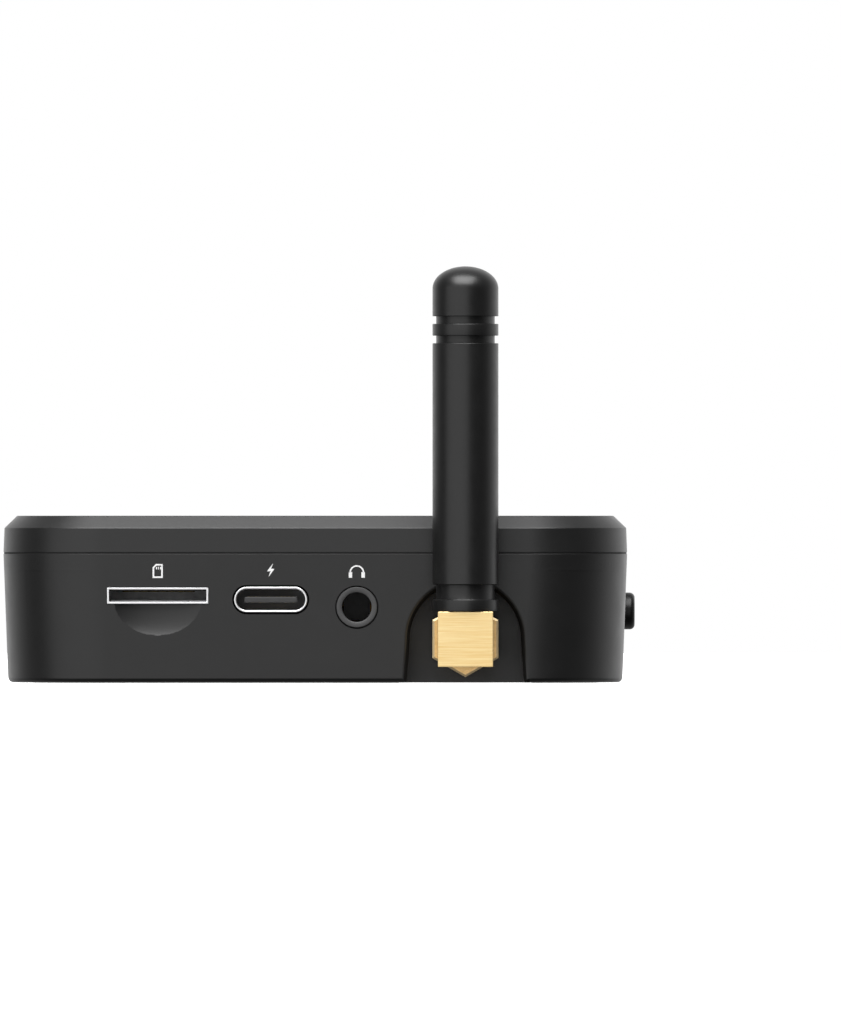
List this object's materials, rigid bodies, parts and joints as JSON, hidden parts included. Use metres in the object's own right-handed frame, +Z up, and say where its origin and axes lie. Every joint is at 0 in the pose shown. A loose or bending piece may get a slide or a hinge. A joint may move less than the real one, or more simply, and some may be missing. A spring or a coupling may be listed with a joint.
{
  "type": "bluetooth audio receiver",
  "caption": "Flat rounded-square desktop audio receiver with a card slot, a USB-C port, an audio jack, a side button and a stub antenna on a swivelling right-angle plug.",
  "frame": {"origin": "middle of the underside of the mat that the case stands on", "axes": "+Z up through the cover; -Y out of the wall that holds the ports; +X towards the side button"},
  "size_m": [0.077, 0.0848, 0.0505],
  "materials": {
    "case_plastic": "satin dark grey",
    "mat_rubber": "matt black",
    "sheath_rubber": "satin black",
    "gold_plate": "brushed pale gold plate",
    "steel": "bright sheet and wire",
    "white_insulator": "matt white",
    "black_plastic": "matt black",
    "grey_plastic": "satin grey",
    "button_plastic": "gloss black",
    "board_laminate": "green solder mask",
    "chip_resin": "matt black resin",
    "capacitor_can": "bright can",
    "light_guide": "clear frosted"
  },
  "bodies": {
    "case": {"bottom_case": "case_plastic", "top_cover": "case_plastic", "base_mat": "mat_rubber", "case_screw_1": "steel", "case_screw_2": "steel", "case_screw_3": "steel", "case_screw_4": "steel", "circuit_board": "board_laminate", "tf_slot_bezel": "steel", "tf_socket_shell": "steel", "tf_socket_base": "black_plastic", "tf_socket_contacts": "gold_plate", "tf_slider_spring": "steel", "usb_c_shell": "steel", "usb_c_tongue": "black_plastic", "aux_jack_housing": "grey_plastic", "aux_sleeve_contact": "gold_plate", "aux_ring_contact": "gold_plate", "aux_tip_contact": "gold_plate", "sma_jack_shell": "gold_plate", "sma_jack_insulator": "white_insulator", "sma_jack_contact": "gold_plate", "sma_lock_washer": "steel", "sma_jack_nut": "gold_plate", "coax_receptacle": "gold_plate", "coax_plug": "gold_plate", "coax_lead": "black_plastic", "switch_body": "black_plastic", "switch_plate": "steel", "switch_dome": "steel", "light_pipe": "light_guide", "status_led": "light_guide", "bluetooth_module_board": "board_laminate", "bluetooth_module_shield": "steel", "audio_converter_chip": "chip_resin", "output_amplifier_chip": "chip_resin", "voltage_regulator_chip": "chip_resin", "power_inductor": "grey_plastic", "clock_crystal": "steel", "card_controller_chip": "chip_resin", "capacitor_1": "capacitor_can", "capacitor_2": "capacitor_can", "capacitor_3": "capacitor_can"},
    "side_button": {"side_button": "button_plastic"},
    "switch_plunger": {"switch_plunger": "button_plastic"},
    "tf_slider": {"tf_slider": "black_plastic"},
    "nut_carrier": {"nut_retaining_ring": "steel"},
    "coupling_nut": {"coupling_nut": "gold_plate"},
    "antenna": {"antenna_elbow": "gold_plate", "antenna_plug_insulator": "white_insulator", "antenna_spigot_insulator": "white_insulator", "antenna_feed_pin": "gold_plate", "radiator_coil": "gold_plate", "antenna_sheath": "sheath_rubber"}
  },
  "joints": [
    {"name": "side_button_press", "type": "slide", "parent": "case", "child": "side_button", "axis": [-1, 0, 0], "range_m": [0, 0.0003], "stiffness_N_per_m": 2000, "springref_m": -0.0002},
    {"name": "switch_plunger_press", "type": "slide", "parent": "case", "child": "switch_plunger", "axis": [-1, 0, 0], "range_m": [0, 0.0003], "deforming": ["switch_dome"]},
    {"name": "tf_slider_push", "type": "slide", "parent": "case", "child": "tf_slider", "axis": [0, 1, 0], "range_m": [0, 0.001], "stiffness_N_per_m": 300, "springref_m": -0.0005, "deforming": ["tf_slider_spring"]},
    {"name": "antenna_draw_off", "type": "slide", "parent": "case", "child": "nut_carrier", "axis": [0, -1, 0], "range_m": [0, 0.00494]},
    {"name": "coupling_nut_turn", "type": "hinge", "parent": "nut_carrier", "child": "coupling_nut", "pos_m": [0.01825, -0.0385, 0.00533], "axis": [0, -1, 0], "range_deg": [0, 2520]},
    {"name": "antenna_swivel", "type": "hinge", "parent": "nut_carrier", "child": "antenna", "pos_m": [0.01825, -0.0385, 0.00533], "axis": [0, 1, 0], "range_deg": [-90, 90]}
  ],
  "couplings": [
    {"joint": "switch_plunger_press", "follows": "side_button_press", "ratio": 1},
    {"joint": "coupling_nut_turn", "follows": "antenna_draw_off", "rad_per_m": 8904.7}
  ]
}
